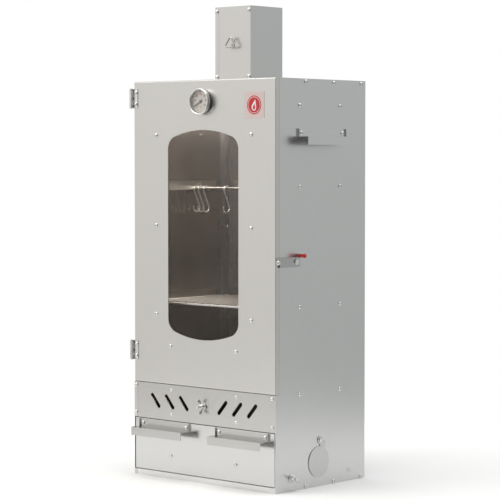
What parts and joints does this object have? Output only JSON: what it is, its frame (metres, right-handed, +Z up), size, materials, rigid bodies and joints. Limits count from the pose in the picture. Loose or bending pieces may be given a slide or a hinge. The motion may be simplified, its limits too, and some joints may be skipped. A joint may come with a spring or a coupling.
{
  "type": "cabinet smoker",
  "caption": "Tall sheet-metal smoking cabinet with a glazed swing door, slotted vent panel, lower drawer, side latch and square chimney.",
  "frame": {"origin": "centre of the cabinet's underside", "axes": "+X to the right when facing the door, +Y to the back, +Z up"},
  "size_m": [0.456, 0.315, 0.99],
  "materials": {
    "casing_steel": "galvanised sheet, semi-gloss",
    "door_steel": "satin sheet",
    "inner_steel": "dull sheet, smoke-stained",
    "bright_steel": "bright zinc-plated",
    "wire_steel": "drawn stainless wire",
    "window_glass": "clear heat-proof",
    "lens_glass": "clear",
    "dial_face": "satin cream enamel",
    "pointer_black": "matt black",
    "badge": "satin enamel",
    "red_vinyl": "dipped vinyl",
    "heater_sheath": "oxidised tube",
    "black_plastic": "moulded phenolic"
  },
  "bodies": {
    "root": {"side_panel_left": "casing_steel", "side_panel_right": "casing_steel", "back_panel": "casing_steel", "roof_panel": "casing_steel", "floor_panel": "casing_steel", "vent_panel": "door_steel", "vent_guide_rivets": "bright_steel", "hinge_frame_leaf_upper": "bright_steel", "hinge_frame_leaf_lower": "bright_steel", "hinge_pins": "bright_steel", "latch_pivot_bolt": "bright_steel", "drawer_runners": "inner_steel", "side_handle_left": "casing_steel", "side_handle_right": "casing_steel", "port_cover_screw": "bright_steel", "wing_bolts": "bright_steel", "shelf_rails_left": "inner_steel", "shelf_rails_right": "inner_steel", "hanging_rod": "wire_steel", "food_grate": "wire_steel", "drip_tray": "inner_steel", "terminal_box": "inner_steel", "power_inlet": "black_plastic", "heating_element": "heater_sheath", "chimney_shell": "casing_steel", "chimney_front": "door_steel", "casing_screws": "bright_steel"},
    "door": {"door_shell": "door_steel", "door_glass": "window_glass", "glass_retainer": "inner_steel", "door_screws": "bright_steel", "thermometer_case": "bright_steel", "thermometer_dial": "dial_face", "thermometer_lens": "lens_glass", "thermometer_probe": "bright_steel", "badge_plate": "badge", "hinge_door_leaf_upper": "bright_steel", "hinge_door_leaf_lower": "bright_steel", "latch_stud": "bright_steel"},
    "pointer": {"thermometer_pointer": "pointer_black"},
    "latch": {"latch_lever": "bright_steel", "latch_grip": "red_vinyl"},
    "drawer": {"drawer_front": "door_steel", "drawer_tray": "inner_steel", "drawer_handle_left": "door_steel", "drawer_handle_right": "door_steel", "drawer_screws": "bright_steel", "chip_pan": "inner_steel"},
    "slider": {"vent_slider": "inner_steel", "vent_bolt": "bright_steel"},
    "vent_nut": {"vent_wing_nut": "bright_steel"},
    "right_nut": {"right_wing_nut": "bright_steel"},
    "left_nut": {"left_wing_nut": "bright_steel"},
    "cover": {"port_cover": "casing_steel"},
    "damper": {"damper_key": "wire_steel", "damper_plate": "inner_steel"},
    "hook_1": {"s_hook_1": "wire_steel"},
    "hook_2": {"s_hook_2": "wire_steel"},
    "hook_3": {"s_hook_3": "wire_steel"},
    "hook_4": {"s_hook_4": "wire_steel"}
  },
  "joints": [
    {"name": "door_hinge", "type": "hinge", "parent": "root", "child": "door", "pos_m": [-0.204, -0.1465, 0.529], "axis": [0, 0, -1], "range_deg": [0, 180]},
    {"name": "latch_turn", "type": "hinge", "parent": "root", "child": "latch", "pos_m": [0.202, -0.0825, 0.465], "axis": [-1, 0, 0], "range_deg": [0, 70]},
    {"name": "drawer_slide", "type": "slide", "parent": "root", "child": "drawer", "axis": [0, -1, 0], "range_m": [0, 0.22]},
    {"name": "vent_slide", "type": "slide", "parent": "root", "child": "slider", "axis": [1, 0, 0], "range_m": [0, 0.0125]},
    {"name": "vent_nut_turn", "type": "hinge", "parent": "slider", "child": "vent_nut", "pos_m": [0, -0.1428, 0.16], "axis": [0, -1, 0], "range_deg": [0, 360]},
    {"name": "right_nut_turn", "type": "hinge", "parent": "root", "child": "right_nut", "pos_m": [0.2, -0.0935, 0.026], "axis": [1, 0, 0], "range_deg": [0, 360]},
    {"name": "left_nut_turn", "type": "hinge", "parent": "root", "child": "left_nut", "pos_m": [-0.2, -0.127, 0.087], "axis": [-1, 0, 0], "range_deg": [0, 360]},
    {"name": "port_cover_swing", "type": "hinge", "parent": "root", "child": "cover", "pos_m": [0.2, -0.004, 0.095], "axis": [1, 0, 0], "range_deg": [0, 110]},
    {"name": "damper_turn", "type": "hinge", "parent": "root", "child": "damper", "pos_m": [0, 0, 0.905], "axis": [0, 1, 0], "range_deg": [0, 90]},
    {"name": "pointer_turn", "type": "hinge", "parent": "door", "child": "pointer", "pos_m": [0, -0.1489, 0.79], "axis": [0, 1, 0], "range_deg": [0, 240]},
    {"name": "hook_1_swing", "type": "hinge", "parent": "root", "child": "hook_1", "pos_m": [0, 0.034, 0.609], "axis": [1, 0, 0], "range_deg": [-40, 40]},
    {"name": "hook_2_swing", "type": "hinge", "parent": "root", "child": "hook_2", "pos_m": [0, 0.034, 0.609], "axis": [1, 0, 0], "range_deg": [-40, 40]},
    {"name": "hook_3_swing", "type": "hinge", "parent": "root", "child": "hook_3", "pos_m": [0, 0.034, 0.609], "axis": [1, 0, 0], "range_deg": [-40, 40]},
    {"name": "hook_4_swing", "type": "hinge", "parent": "root", "child": "hook_4", "pos_m": [0, 0.034, 0.609], "axis": [1, 0, 0], "range_deg": [-40, 40]}
  ]
}
